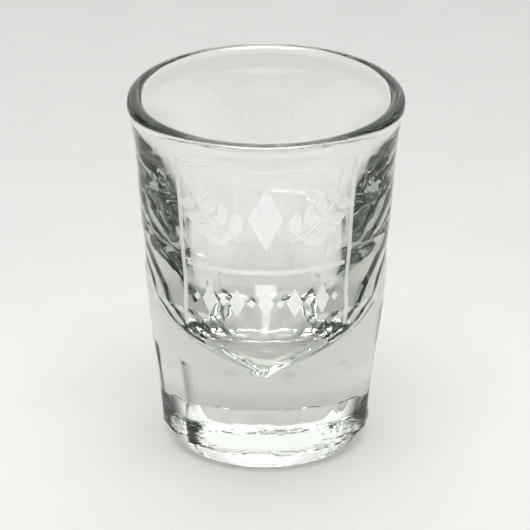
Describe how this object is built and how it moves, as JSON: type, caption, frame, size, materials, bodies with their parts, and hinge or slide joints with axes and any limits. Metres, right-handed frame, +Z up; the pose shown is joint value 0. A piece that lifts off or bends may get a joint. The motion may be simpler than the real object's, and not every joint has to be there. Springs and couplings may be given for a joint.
{
  "type": "shot glass",
  "caption": "Clear pressed shot glass with a flared, fire-polished rim, a rounded cavity over a thick solid base and twelve flat panels round the foot.",
  "frame": {"origin": "centre of the foot, on the surface the glass stands on", "axes": "+Z up along the axis of the glass, -Y towards the decorated front, +X to the right seen from the front"},
  "size_m": [0.055, 0.055, 0.073],
  "materials": {
    "glass": "clear, polished, faint green tint in the thick base"
  },
  "bodies": {
    "root": {"glass_body": "glass"}
  },
  "joints": []
}
